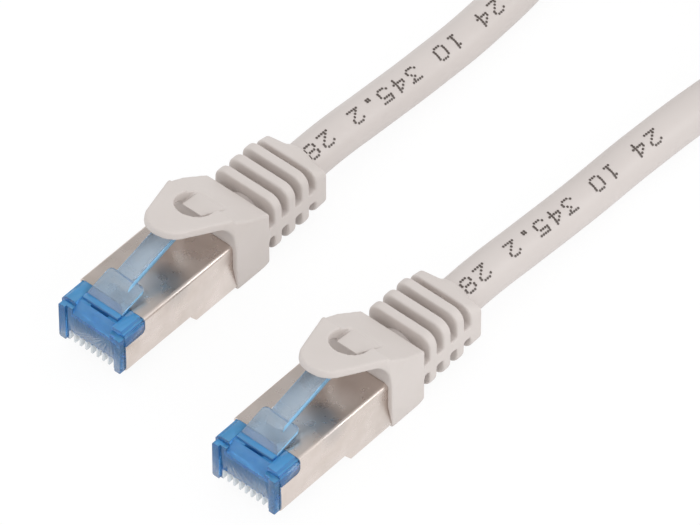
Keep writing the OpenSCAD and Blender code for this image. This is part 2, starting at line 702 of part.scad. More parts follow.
coarse_hank = hank_points(1);
points_a = lead_points(exit_a, route_a, coarse_hank[0]);
points_b = lead_points(exit_b, route_b, coarse_hank[len(coarse_hank) - 1]);
module lead(points) color([0.83, 0.80, 0.78]) sweep(points, lead_r, 10, [0, 1, 0], [0, 1, 0]);
module hank() color([0.83, 0.80, 0.78]) sweep(coarse_hank, lead_r, 6, [0, 1, 0], [0, -1, 0]);
module hank_tie() color([0.16, 0.16, 0.17]) {
    half = half_out - waist + lead_r + 1;
    top = run_z(runs - 1) + lead_r + tie_t + 2 * tie_gap;
    corner = lead_r;
    along_y(mid_y - tie_w / 2, mid_y + tie_w / 2) difference() {
        rounded(half + tie_t, 0, top + tie_t, corner + tie_t);
        rounded(half, tie_t, top, corner);
    }
    // the end laid back over the strap
    translate([-tie_tail / 2, mid_y - tie_w / 2, top + tie_t - eps]) cube([tie_tail, tie_w, tie_t]);
}
apart = 4 * lead_d / (length_of(fine_hank) / len(fine_hank));
least_gap = min([for (i = [0:len(fine_hank) - 1], j = [i + ceil(apart):1:len(fine_hank) - 1])
    norm(fine_hank[i] - fine_hank[j])]) - lead_d;
echo(least_gap_mm = least_gap);
echo(free_length_mm = length_of(fine_hank) + length_of(points_a) + length_of(points_b));

// --- build ---
module plug_a() { translate(place_a) children(); }
module plug_b() { translate(place_b) children(); }
plug_a() housing();  // housing_a
plug_a() latch();  // latch_a
plug_a() contacts();  // contacts_a
plug_a() wire_guide();  // wire_guide_a
plug_a() cores();  // cores_a
plug_a() pair(PAIRS[0], [0.95, 0.55, 0.20]);  // pair_orange_a
plug_a() pair(PAIRS[1], [0.30, 0.62, 0.35]);  // pair_green_a
plug_a() pair(PAIRS[2], [0.20, 0.40, 0.75]);  // pair_blue_a
plug_a() pair(PAIRS[3], [0.50, 0.34, 0.24]);  // pair_brown_a
plug_a() pair_foils();  // pair_foils_a
plug_a() braid();  // braid_a
plug_a() jacket_end();  // jacket_end_a
plug_a() shield();  // shield_a
plug_a() boot();  // boot_a
plug_a() hood();  // hood_a
plug_b() housing();  // housing_b
plug_b() latch();  // latch_b
plug_b() contacts();  // contacts_b
plug_b() wire_guide();  // wire_guide_b
plug_b() cores();  // cores_b
plug_b() pair(PAIRS[0], [0.95, 0.55, 0.20]);  // pair_orange_b
plug_b() pair(PAIRS[1], [0.30, 0.62, 0.35]);  // pair_green_b
plug_b() pair(PAIRS[2], [0.20, 0.40, 0.75]);  // pair_blue_b
plug_b() pair(PAIRS[3], [0.50, 0.34, 0.24]);  // pair_brown_b
plug_b() pair_foils();  // pair_foils_b
plug_b() braid();  // braid_b
plug_b() jacket_end();  // jacket_end_b
plug_b() shield();  // shield_b
plug_b() boot();  // boot_b
plug_b() hood();  // hood_b
lead(points_a);  // lead_a
hank();
lead(points_b);  // lead_b
hank_tie();
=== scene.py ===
# %% [markdown]
# # A shielded patch cable
# Two modular plugs in soft grey boots share one round lead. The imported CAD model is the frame: it holds every
# piece at its real size, and its joints say how the latches and the hoods move. This lesson dresses it.
# Each piece below is built around the frame, in millimetres, and is turned to metres as it is finished.

import json
import math

import bmesh
import bpy
from mathutils import Matrix, Vector
from mathutils.geometry import interpolate_bezier


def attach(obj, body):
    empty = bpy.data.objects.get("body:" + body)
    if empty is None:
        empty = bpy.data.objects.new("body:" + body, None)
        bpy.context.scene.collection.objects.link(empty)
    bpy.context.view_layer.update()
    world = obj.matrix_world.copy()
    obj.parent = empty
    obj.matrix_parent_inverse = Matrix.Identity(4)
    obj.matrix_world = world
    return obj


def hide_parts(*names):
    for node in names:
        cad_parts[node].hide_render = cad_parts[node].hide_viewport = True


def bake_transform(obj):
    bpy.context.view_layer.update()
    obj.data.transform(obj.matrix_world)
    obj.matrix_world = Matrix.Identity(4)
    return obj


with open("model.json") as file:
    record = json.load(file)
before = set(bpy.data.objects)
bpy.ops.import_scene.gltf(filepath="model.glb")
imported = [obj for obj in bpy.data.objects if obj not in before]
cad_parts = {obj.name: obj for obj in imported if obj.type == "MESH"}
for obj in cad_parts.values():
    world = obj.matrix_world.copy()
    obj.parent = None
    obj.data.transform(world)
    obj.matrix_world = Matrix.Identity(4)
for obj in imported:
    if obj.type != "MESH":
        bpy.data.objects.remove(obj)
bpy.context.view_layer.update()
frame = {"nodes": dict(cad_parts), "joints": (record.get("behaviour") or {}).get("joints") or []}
MM = 0.001
ENDS = ("a", "b")

# %% [markdown]
# ## Each plug's own frame
# Both ends are the same part, so each is modelled once in a frame of its own: X across, Y from the nose back to
# the lead, Z up. The hood's hinge is a point that the frame gives exactly, so the zero is found from it.

# %% Where each plug's frame has its zero
HOOD_PIVOT = Vector((0, 21.9, 11.7))
BOOT_FLOOR = -2.1
LEAD_Z = 2.95
PLUG_LEN = 42.75
joints = {joint["name"]: joint for joint in frame["joints"]}


def plug_origin(end):
    """The zero of one plug's own frame, in the row frame, in millimetres."""
    return Vector(joints[f"hood_{end}_press"]["pos_m"]) / MM - HOOD_PIVOT


for end in ENDS:
    print("plug", end, "starts at", [round(v, 2) for v in plug_origin(end)], "mm")

# %% [markdown]
# ## Camera
# A long lens looks down at the pair from the right. Its direction is a turn of 41 degrees about the vertical and
# a rise of 47 degrees. The distance and the small shift to the side put both noses where they belong.

# %% Camera
TURN = math.radians(41.06)
RISE = math.radians(47.07)
DISTANCE = 1200
SHIFT_RIGHT, SHIFT_UP = 10.46, 11.21
SENSOR = 36
FOCAL = 457.9

right = Vector((math.cos(TURN), math.sin(TURN), 0))
back = Vector((math.sin(TURN) * math.cos(RISE), -math.cos(TURN) * math.cos(RISE), math.sin(RISE)))
back.normalize()
right.normalize()
up = back.cross(right)
camera_data = bpy.data.cameras.new("camera")
camera_data.sensor_width = SENSOR
camera_data.lens = FOCAL
camera_data.clip_end = 10
camera = bpy.data.objects.new("camera", camera_data)
place = (right * SHIFT_RIGHT + up * SHIFT_UP + back * DISTANCE) * MM
turn = Matrix((right, up, back)).transposed().to_4x4()
camera.matrix_world = Matrix.Translation(place) @ turn
bpy.context.scene.collection.objects.link(camera)
bpy.context.scene.camera = camera
print("camera at", [round(v, 3) for v in place])

# %% [markdown]
# ## The lead's route
# A patch lead is stiff enough to leave its boot straight. Each end settles to the floor within a few
# diameters, and the length that isn't in use is folded into a hank of eight runs in two layers. A spline
# through a few points would do for the free ends, but the folds are a rule, so a loop works them out.

# %% Points of the free ends and of the hank
LEAD_D = 6.4
LEAD_R = LEAD_D / 2
# the free ends, from boot to hank
ROUTE_A = [(-16.1, 38, 4.4), (-16.1, 50, 3.5), (-16.2, 62, 3.2),
           (-17.5, 76, 3.2), (-21.2, 89, 3.2), (-25, 99, 3.2)]
ROUTE_B = [(16.1, 33, 4.4), (16.1, 45, 3.5), (16.2, 58, 3.2),
           (17.4, 72, 3.6), (21, 86, 5.8), (25, 98, 8.8)]
# the hank's straight runs, the half widths of its loops and the height of a layer
RUN_LEN = 27
HALF_IN = 19.5
PASS_STEP = 7.2
HALF_OUT = HALF_IN + PASS_STEP
LAYER_H = 7
NEAR_PUSH = 6
# the strap round it, and how far it draws the runs in
WAIST = 1.3
TIE_T = 1.2
TIE_GAP = 0.1
TIE_W = 12
HANK_NEAR = 92
NEAR_Y = HANK_NEAR + NEAR_PUSH + (HALF_IN + HALF_OUT) / 2 + LEAD_R
FAR_Y = NEAR_Y + RUN_LEN
MID_Y = (NEAR_Y + FAR_Y) / 2
HANK_END_Y = NEAR_Y - NEAR_PUSH - LEAD_D
# each run's half width and layer, in the order that the lead takes them
RUN_HALF = [HALF_OUT, HALF_OUT, HALF_IN, HALF_IN, HALF_IN, HALF_IN, HALF_OUT, HALF_OUT]
RUN_LAYER = [0, 0, 0, 0, 1, 1, 1, 1]
RUN_STEPS = 4
FOLD_STEPS = 8
SETTLE_LEN = MID_Y - HANK_END_Y - TIE_W / 2


def drawn_in(y):
    """How far the tie draws a run towards the middle."""
    away = 2 * (y - MID_Y) / RUN_LEN
    return WAIST * (1 + math.cos(math.pi * away)) / 2 if abs(away) < 1 else 0


def lifted(y):
    """How far the strap under the hank holds it off the floor."""
    away = (abs(y - MID_Y) - TIE_W / 2) / SETTLE_LEN
    return (TIE_T + TIE_GAP) * (1 if away < 0 else (1 + math.cos(math.pi * away)) / 2 if away < 1 else 0)


def near_end(k):
    """How near to the plugs run k starts or ends."""
    if k in (0, len(RUN_HALF) - 1):
        return HANK_END_Y
    return NEAR_Y if k in (3, 4) else NEAR_Y - NEAR_PUSH


def run_points(k):
    """Points along one straight run of the hank."""
    going_out = k % 2 == 0
    start, stop = (near_end(k), FAR_Y) if going_out else (FAR_Y, near_end(k))
    side = -1 if going_out else 1
    points = []
    for i in range(RUN_STEPS + 1):
        y = start + (stop - start) * i / RUN_STEPS
        x = side * (RUN_HALF[k] - drawn_in(y))
        points.append(Vector((x, y, LEAD_R + RUN_LAYER[k] * LAYER_H + lifted(y))))
    return points


def fold_points(k):
    """Points round the half circle from run k to the next one."""
    side = 1 if k % 2 == 0 else -1
    radius = (RUN_HALF[k] + RUN_HALF[k + 1]) / 2
    middle = side * (RUN_HALF[k + 1] - RUN_HALF[k]) / 2
    start = FAR_Y if side > 0 else near_end(k)
    low, rise = RUN_LAYER[k] * LAYER_H, (RUN_LAYER[k + 1] - RUN_LAYER[k]) * LAYER_H
    points = []
    for i in range(1, FOLD_STEPS):
        t = math.pi * i / FOLD_STEPS
        y = start + side * radius * math.sin(t)
        z = LEAD_R + low + rise * (1 - math.cos(t)) / 2 + lifted(y)
        points.append(Vector((middle - side * radius * math.cos(t), y, z)))
    return points


def free_end(end, route, hank_end):
    """From inside the boot, straight out for a diameter, along the route and straight into the hank."""
    leaves = plug_origin(end) + Vector((0, PLUG_LEN, LEAD_Z))
    ahead = Vector((0, LEAD_D, 0))
    return [leaves, leaves + ahead, *[Vector(p) for p in route], hank_end - ahead]


hank = run_points(0)
for k in range(len(RUN_HALF) - 1):
    hank += fold_points(k) + run_points(k + 1)
route = free_end("a", ROUTE_A, hank[0]) + hank + free_end("b", ROUTE_B, hank[-1])[::-1]
print("route has", len(route), "points")

# %% [markdown]
# The jacket is one long extrusion. It could be a chain of cylinders, but every bend would show their joints. One
# Bezier spline with a round section has none, and its automatic handles keep the bends as even as a real lead's.

# %% The lead itself
def smooth_curve(points, name, radius, resolution):
    """One open Bezier spline through the points, swept with a round section. A curve's bounds grow by the radius
    of its points, so the points carry the true radius, and the depth that multiplies it is 1."""
    curve = bpy.data.curves.new(name, "CURVE")
    curve.dimensions = "3D"
    curve.bevel_depth = 1
    curve.bevel_resolution = resolution
    curve.resolution_u = 8
    curve.use_fill_caps = True
    spline = curve.splines.new("BEZIER")
    spline.bezier_points.add(len(points) - 1)
    for knot, point in zip(spline.bezier_points, points):
        knot.co = point * MM
        knot.radius = radius * MM
        knot.handle_left_type = knot.handle_right_type = "AUTO"
    obj = bpy.data.objects.new(name, curve)
    bpy.context.scene.collection.objects.link(obj)
    return obj


lead = smooth_curve(route, "lead", LEAD_R, 6)
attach(lead, "root")
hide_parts("lead_a", "hank", "lead_b")
tips = [[round(v, 1) for v in point] for point in (route[0], route[-1])]
print("lead replaces its three solids, from", tips[0], "to", tips[1])

# %% [markdown]
# ## Colour and nodes
# Colours are written as sRGB hex, as a paint program shows them, and Blender's sockets want linear light. One
# function turns them. A second one adds a shader node with its settings and its links.

# %% Colour and node helpers
def colour(code):
    """Linear RGBA of an sRGB hex code such as D3CBC7."""
    channels = [int(code[i:i + 2], 16) / 255 for i in (0, 2, 4)]
    return tuple(c / 12.92 if c <= 0.04045 else ((c + 0.055) / 1.055) ** 2.4 for c in channels) + (1.0,)


def add_node(tree, kind, inputs=None, **settings):
    """Adds one shader node. inputs maps a socket's name or number to a value or to an output to link."""
    made = tree.nodes.new(kind)
    for name, value in settings.items():
        setattr(made, name, value)
    for socket, value in (inputs or {}).items():
        if isinstance(value, bpy.types.NodeSocket):
            tree.links.new(value, made.inputs[socket])
        else:
            made.inputs[socket].default_value = value
    return made


def new_material(name, code, **sockets):
    """A material whose one shader has this colour and these plain socket values."""
    material = bpy.data.materials.new(name)
    material.use_nodes = True
    shader = material.node_tree.nodes["Principled BSDF"]
    shader.inputs["Base Color"].default_value = colour(code)
    for socket, value in sockets.items():
        shader.inputs[socket.replace("_", " ")].default_value = value
    return material, material.node_tree, shader


def per_mm(size):
    """The Scale of a pattern whose features are this many millimetres across."""
    return 1 / (size * MM)

# %% [markdown]
# ## Finishes
# Each finish starts from what the real one is. The boot is a soft thermoplastic elastomer from a sparked mould:
# even and satin, with a grain finer than a tenth of a millimetre. The jacket is extruded: a touch glossier, with
# the slow swell of the twisted pairs beneath. Three small functions do the work that the finishes share: where
# the pattern sits, a colour that drifts between two shades, and a relief.

# %% What the finishes share
def object_place(tree):
    """Where each point is in the row frame, which every pattern is tied to."""
    return add_node(tree, "ShaderNodeTexCoord").outputs["Object"]


def noise(tree, place, size, detail=2.0, stretch=(1, 1, 1)):
    """Noise whose features are size millimetres across, drawn out along an axis where stretch is above 1."""
    drawn = add_node(tree, "ShaderNodeMapping", {"Vector": place, "Scale": tuple(1 / s for s in stretch)})
    inputs = {"Vector": drawn.outputs[0], "Scale": per_mm(size), "Detail": detail}
    return add_node(tree, "ShaderNodeTexNoise", inputs).outputs["Fac"]


def drift(tree, shader, share, low, high):
    """Base colour between two shades."""
    tint = add_node(tree, "ShaderNodeMix", {0: share, 6: colour(low), 7: colour(high)}, data_type="RGBA")
    tree.links.new(tint.outputs[2], shader.inputs["Base Color"])
    return tint.outputs[2]


def relief(tree, shader, height, depth, strength, under=None):
    """Bumps of this depth in millimetres. under is a coarser relief that it lies on."""
    inputs = {"Height": height, "Strength": strength, "Distance": depth * MM}
    if under:
        inputs["Normal"] = under
    bump = add_node(tree, "ShaderNodeBump", inputs)
    tree.links.new(bump.outputs["Normal"], shader.inputs["Normal"])
    return bump.outputs["Normal"]


NOISE_LOW, NOISE_HIGH = 0.3, 0.7


def spread(tree, share, low, high, socket):
    """Spreads noise, which seldom leaves its middle range, over a range of values and links it to a socket."""
    limits = {"Value": share, "From Min": NOISE_LOW, "From Max": NOISE_HIGH, "To Min": low, "To Max": high}
    ranged = add_node(tree, "ShaderNodeMapRange", limits)
    tree.links.new(ranged.outputs["Result"], socket)

# %% [markdown]
# The boot and the jacket are the same warm grey, but they are made in different ways, and it shows in the light:
# the mould leaves a grain that looks the same in every direction, and the die leaves marks along the lead.

# %% Elastomer and jacket
def moulded_elastomer():
    """Soft satin elastomer, warm grey, with fine spark grain and faint clouds."""
    material, tree, shader = new_material("moulded elastomer", "D6CECA", Roughness=0.5, IOR=1.5)
    place = object_place(tree)
    drift(tree, shader, noise(tree, place, 6), "D2CAC5", "D9D1CD")
    soft = relief(tree, shader, noise(tree, place, 2.5, 1.0), 0.15, 0.15)
    relief(tree, shader, noise(tree, place, 0.16, 3.0), 0.02, 0.12, soft)
    return material


def extruded_jacket():
    """Halogen free jacket in the boot's grey, with the pairs' slow swell and fine draw marks along it."""
    material, tree, shader = new_material("extruded jacket", "D3CBC8", Roughness=0.44, IOR=1.5)
    place = object_place(tree)
    drift(tree, shader, noise(tree, place, 9), "D0C8C4", "D8D0CC")
    swell = relief(tree, shader, noise(tree, place, 5, 1.0), 0.3, 0.2)
    relief(tree, shader, noise(tree, place, 0.35, 3.0, (1, 6, 1)), 0.02, 0.1, swell)
    return material


ELASTOMER = moulded_elastomer()
JACKET = extruded_jacket()
lead.data.materials.append(JACKET)
print("finishes:", ELASTOMER.name, "and", JACKET.name)

# %% [markdown]
# The plug's body and its latch are polycarbonate: dyed blue in the body and almost water clear in the latch. A
# volume shader would show how the dye deepens with thickness, but it is slow in parts as thin as these. A share
# of transmission over a body colour looks much the same: the wires show through, and the dye still glows. The
# body's tops and the latch's right sides get a lighter painted shade and less transmission, as painted light. The
# thin fins between the contacts show no dye, and they are painted milky white, as painted light for the light
# through them. The metal is nickel on sheet: grey-brown where it mirrors the room, with a painted reflection, a
# darker blue-grey patch on its top, and rubbing marks along the way it is plugged in.

# %% Polycarbonate and plated metal
# how far a face must turn towards the lit axis before it gets the painted light
LIT_FROM, LIT_FULL = 0.5, 0.9
# where the fins' painted light lies, and how little transmission it leaves them
FINS_HALF, FINS_TOP, FINS_FADE, PAINTED_FIN_CLEAR = 4.05, 1.9, 0.4, 0.1
# the painted reflection on the shell's top: its middle, its radius, its core and its share
PATCH_PLACE, PATCH_R, PATCH_CORE, PATCH_SHARE = (3.4, 11.6, 7.3), 4.4, 0.2, 0.5


def clear_plastic(name, light, dark, roughness, flow, clear, painted_highlight=None, lit="X", lit_clear=0.3):
    """Injection moulded polycarbonate with faint flow lines. painted_highlight is painted light, a lighter shade
    for the faces that turn towards the axis lit, and lit_clear is how clear those faces stay."""
    material, tree, shader = new_material(name, light, Roughness=roughness, IOR=1.58, Transmission_Weight=clear)
    place = object_place(tree)
    body = drift(tree, shader, noise(tree, place, 1.2), dark, light)
    # painted light: faces that turn towards the lit axis get a lighter shade and less transmission
    if painted_highlight:
        normal = add_node(tree, "ShaderNodeNewGeometry").outputs["True Normal"]
        across = add_node(tree, "ShaderNodeSeparateXYZ", {0: normal}).outputs[lit]
        facing = {"Value": across, "From Min": LIT_FROM, "From Max": LIT_FULL}
        side = add_node(tree, "ShaderNodeMapRange", facing).outputs["Result"]
        edge = add_node(tree, "ShaderNodeMix", {0: side, 6: body, 7: colour(painted_highlight)}, data_type="RGBA")
        tree.links.new(edge.outputs[2], shader.inputs["Base Color"])
        share = add_node(tree, "ShaderNodeMix", {0: side, 2: clear, 3: lit_clear}, data_type="FLOAT")
        tree.links.new(share.outputs[0], shader.inputs["Transmission Weight"])
    relief(tree, shader, noise(tree, place, 1.2, 2.0, (1, 2, 1)), 0.1, flow)
    return material


def clear_fins(material):
    """The fins between the contacts are a third of a millimetre thick: no dye shows. Their milky white with little
    transmission is painted light, for the light that passes through them.
    """
    tree = material.node_tree
    shader = tree.nodes["Principled BSDF"]
    place = add_node(tree, "ShaderNodeSeparateXYZ", {0: object_place(tree)})
    aside = add_node(tree, "ShaderNodeMath", {0: place.outputs["X"]}, operation="ABSOLUTE").outputs[0]
    across = add_node(tree, "ShaderNodeMath", {0: aside, 1: abs(plug_origin("a").x) * MM, 2: FINS_HALF * MM},
                      operation="COMPARE").outputs[0]
    top = FINS_TOP - BOOT_FLOOR
    fade = {"Value": place.outputs["Z"], "From Min": top * MM, "From Max": (top - FINS_FADE) * MM}
    low = add_node(tree, "ShaderNodeMapRange", fade).outputs["Result"]
    # painted light: the thin fins get a milky white and little transmission
    thin_lit_fins = add_node(tree, "ShaderNodeMath", {0: across, 1: low}, operation="MULTIPLY").outputs[0]
    body = shader.inputs["Base Color"].links[0].from_socket
    tint = add_node(tree, "ShaderNodeMix", {0: thin_lit_fins, 6: body, 7: colour("EEF4F8")}, data_type="RGBA")
    tree.links.new(tint.outputs[2], shader.inputs["Base Color"])
    share = shader.inputs["Transmission Weight"].links[0].from_socket
    clear = add_node(tree, "ShaderNodeMix", {0: thin_lit_fins, 2: share, 3: PAINTED_FIN_CLEAR}, data_type="FLOAT")
    tree.links.new(clear.outputs[0], shader.inputs["Transmission Weight"])


def plated_steel(end):
    """Nickel plated sheet: cloudy reflections, a painted reflection as a darker blue-grey patch on its top and
    hairline rubbing marks along the plug.
    """
    material, tree, shader = new_material(f"nickel plated sheet {end}", "E0D6D0", Metallic=1.0, Roughness=0.3)
    place = object_place(tree)
    clean = drift(tree, shader, noise(tree, place, 4, 3.0), "CFC3B9", "EADFDA")
    # painted reflection: a darker blue-grey patch on the shell's top, mixed into the base colour
    middle = plug_origin(end) + Vector(PATCH_PLACE)
    away = add_node(tree, "ShaderNodeVectorMath", {0: place, 1: middle * MM}, operation="DISTANCE")
    rim = PATCH_R * MM
    limits = {"Value": away.outputs["Value"], "From Min": rim, "From Max": PATCH_CORE * rim, "To Max": PATCH_SHARE}
    patch = add_node(tree, "ShaderNodeMapRange", limits, interpolation_type="SMOOTHSTEP").outputs["Result"]
    painted_reflection = add_node(tree, "ShaderNodeMix", {0: patch, 6: clean, 7: colour("93979B")}, data_type="RGBA")
    tree.links.new(painted_reflection.outputs[2], shader.inputs["Base Color"])
    spread(tree, noise(tree, place, 2.2, 4.0), 0.22, 0.4, shader.inputs["Roughness"])
    clouds = relief(tree, shader, noise(tree, place, 3, 2.0), 0.1, 0.1)
    relief(tree, shader, noise(tree, place, 0.12, 3.0, (1, 14, 1)), 0.01, 0.25, clouds)
    return material


# 5CB4F0 is painted light on the tops of the plug body, and 94D0F8 is painted light on the latch's right sides
NOSE_PLASTIC = clear_plastic("blue polycarbonate", "74C6FF", "3C8CE4", 0.05, 0.7, 0.7, "5CB4F0", "Z", 0.45)
# the thin fins are painted milky white, as painted light
clear_fins(NOSE_PLASTIC)
LATCH_PLASTIC = clear_plastic("pale polycarbonate", "D6E8F8", "C6DEF3", 0.1, 0.15, 0.78, "94D0F8")
GUIDE_PLASTIC = clear_plastic("milky guide plastic", "EAF0F5", "DCE6EE", 0.35, 0.1, 0.6)
PLATED = {end: plated_steel(end) for end in ENDS}
print("clear plastics and", PLATED["a"].name)

# %% [markdown]
# The contacts are phosphor bronze with gold where the springs touch, and the small parts of the lead follow: the
# bare copper, the four pairs' insulation, their foils and the tinned braid.

# %% Metals and insulation of the lead
BRAID_TURN, STRAND_PITCH = 0.8, 3


def polished_metal(name, light, dark, roughness, size, marks):
    """Metal with small uneven shades and handling marks."""
    material, tree, shader = new_material(name, light, Metallic=1.0, Roughness=roughness)
    place = object_place(tree)
    drift(tree, shader, noise(tree, place, size), dark, light)
    relief(tree, shader, noise(tree, place, size / 5, 3.0), 0.02, marks)
    return material


def insulation(name, light, dark):
    """Smooth extruded insulation."""
    material, tree, shader = new_material(name, light, Roughness=0.4, IOR=1.5)
    place = object_place(tree)
    drift(tree, shader, noise(tree, place, 1.5), dark, light)
    relief(tree, shader, noise(tree, place, 0.2, 2.0, (1, 5, 1)), 0.02, 0.15)
    return material


def braided_screen():
    """Tinned copper braid: two sets of strands that cross, seen as a fine diamond relief, with painted shade in
    the gaps between the strands.
    """
    material, tree, shader = new_material("tinned braid", "C2BFBA", Metallic=1.0, Roughness=0.38)
    place = object_place(tree)
    waves = []
    for way in (BRAID_TURN, -BRAID_TURN):
        turned = add_node(tree, "ShaderNodeMapping", {"Vector": place, "Rotation": (0, 0, way)}).outputs[0]
        strands = {"Vector": turned, "Scale": per_mm(STRAND_PITCH)}
        wave = add_node(tree, "ShaderNodeTexWave", strands, wave_type="BANDS", bands_direction="X")
        waves.append(wave.outputs["Fac"])
    crossing = add_node(tree, "ShaderNodeMath", {0: waves[0], 1: waves[1]}, operation="MAXIMUM").outputs[0]
    # painted shade: the gaps between the strands are darker
    drift(tree, shader, crossing, "8F8C88", "D2D0CC")
    relief(tree, shader, crossing, 0.08, 0.6)
    return material


FINISH_OF = {
    "contacts": polished_metal("gold plated contact", "E9C26A", "D9A94E", 0.22, 1.0, 0.1),
    "cores": polished_metal("bare copper", "E09A70", "C97F55", 0.3, 1.0, 0.1),
    "pair_orange": insulation("orange insulation", "F2953F", "E8852F"),
    "pair_green": insulation("green insulation", "4FA65C", "43974F"),
    "pair_blue": insulation("blue insulation", "3C6FC2", "3263B4"),
    "pair_brown": insulation("brown insulation", "8A6044", "7C543A"),
    "pair_foils": polished_metal("pair foil", "DADBDD", "C4C6C9", 0.25, 0.8, 0.6),
    "braid": braided_screen(),
    "jacket_end": JACKET,
    "housing": NOSE_PLASTIC,
    "latch": LATCH_PLASTIC,
    "wire_guide": GUIDE_PLASTIC,
    "hank_tie": insulation("black strap", "2B2B2C", "232324"),
}
for node_name, node in frame["nodes"].items():
    finish = FINISH_OF.get(node_name) or FINISH_OF.get(node_name[:-2])
    if node_name.startswith("shield"):
        finish = PLATED[node_name[-1]]
    if finish:
        node.data.materials.clear()
        node.data.materials.append(finish)
print(len(FINISH_OF), "finishes for the pieces of each plug")

# %% [markdown]
# ## Building blocks
# Most of the boot is flat faces that meet at an angle. Each block starts as a cube and is cut back by planes,
# which is quick to write and exact, and every block is a closed solid, so that they can be melted into one later.

# %% Solids from cubes and planes
ROD_SIDES, DISC_SIDES, GROOVE_SIDES, CORNER_STEPS = 64, 72, 96, 8


def box_mesh(low, high):
    """A closed box between two corners."""
    bm = bmesh.new()
    bmesh.ops.create_cube(bm, size=1)
    low, high = Vector(low), Vector(high)
    bmesh.ops.scale(bm, verts=bm.verts, vec=high - low)
    bmesh.ops.translate(bm, verts=bm.verts, vec=(low + high) / 2)
    return bm


def trim(bm, point, normal):
    """Cuts off what lies beyond the plane, on the side that normal points to, and closes the cut."""
    everything = bm.verts[:] + bm.edges[:] + bm.faces[:]
    cut = bmesh.ops.bisect_plane(bm, geom=everything, plane_co=point, plane_no=normal, clear_outer=True)["geom_cut"]
    edges = [item for item in cut if isinstance(item, bmesh.types.BMEdge)]
    if edges:
        bmesh.ops.edgeloop_fill(bm, edges=edges)
    return bm


def trim_both(bm, point, normal):
    """The same cut on the left and on the right."""
    trim(bm, point, normal)
    return trim(bm, (-point[0], point[1], point[2]), (-normal[0], normal[1], normal[2]))


def round_edges(bm, along, width, segments):
    """Bevels the edges that run along one axis."""
    edges = [e for e in bm.edges if abs((e.verts[1].co - e.verts[0].co).normalized()[along]) > 0.99]
    bmesh.ops.bevel(bm, geom=edges, offset=width, offset_type="OFFSET", segments=segments, profile=0.5,
                    affect="EDGES", material=-1, clamp_overlap=True)
    return bm


def rod(radius, from_y, to_y, z):
    """A closed cylinder along Y."""
    bm = bmesh.new()
    bmesh.ops.create_cone(bm, cap_ends=True, segments=ROD_SIDES, radius1=radius, radius2=radius,
                          depth=to_y - from_y)
    bmesh.ops.rotate(bm, verts=bm.verts, cent=(0, 0, 0), matrix=Matrix.Rotation(math.pi / 2, 3, "X"))
    bmesh.ops.translate(bm, verts=bm.verts, vec=(0, (from_y + to_y) / 2, z))
    return bm


def hull_of(*parts):
    """The convex hull round several meshes, as one closed solid."""
    bm = joined(*parts)
    bmesh.ops.delete(bm, geom=bm.edges[:], context="EDGES_FACES")
    result = bmesh.ops.convex_hull(bm, input=bm.verts)
    inside = [v for v in result["geom_interior"] if isinstance(v, bmesh.types.BMVert)]
    bmesh.ops.delete(bm, geom=inside, context="VERTS")
    return bm


def joined(*parts):
    """All the meshes in one, without merging anything."""
    whole = bmesh.new()
    for part in parts:
        mesh = bpy.data.meshes.new("part")
        part.to_mesh(mesh)
        part.free()
        whole.from_mesh(mesh)
        bpy.data.meshes.remove(mesh)
    return whole


def new_object(name, bm, scale=MM):
    """An object from a bmesh in millimetres, with its origin at the world's zero."""
    bmesh.ops.recalc_face_normals(bm, faces=bm.faces)
    bmesh.ops.scale(bm, verts=bm.verts, vec=(scale,) * 3)
    mesh = bpy.data.meshes.new(name)
    bm.to_mesh(mesh)
    bm.free()
    obj = bpy.data.objects.new(name, mesh)
    bpy.context.scene.collection.objects.link(obj)
    return obj


def add_modifier(obj, kind, **settings):
    """Adds one modifier with its settings."""
    modifier = obj.modifiers.new(kind.title(), kind)
    for name, value in settings.items():
        setattr(modifier, name, value)


def bake(obj, *helpers):
    """Makes the result of the object's modifiers its own mesh, and removes the cutters that they used."""
    bpy.context.view_layer.update()
    evaluated = obj.evaluated_get(bpy.context.evaluated_depsgraph_get())
    old = obj.data
    obj.data = bpy.data.meshes.new_from_object(evaluated)
    obj.modifiers.clear()
    bpy.data.meshes.remove(old)
    for helper in helpers:
        mesh = helper.data
        bpy.data.objects.remove(helper)
        bpy.data.meshes.remove(mesh)

# %% [markdown]
# ## The boot
# A real boot is one shot of elastomer: block, hood, ribs and sleeve flow into each other with soft inner corners.
# Voxel remeshing gives just that. The solids overlap a little, the remesh melts them into one skin, and a short
# smoothing rounds every edge by about the same radius that a mould maker leaves. The cavity for the metal shell is
# cut afterwards, so that its mouth stays crisp.

# %% Block and hood of the boot
BOOT_FRONT, BOOT_REAR = 22.35, 30.15
BOOT_HALF, BOOT_REAR_HALF = 6.65, 5.7
SLOPE_Y, SLOPE_Z, BOOT_REAR_TOP = 21.75, 12.36, 7.3
CREASE_Z, TUCK, FRONT_RAKE, PLUG_TOP = 3, 0.8, 1, 7.3
HOOD_RISE, HOOD_T, HOOD_HALF, HOOD_TIP, TIP_R = math.radians(14), 1.3, 5.8, 13.05, 3.6
ROOT_FROM, ROOT_TO = 0.2, 0.9


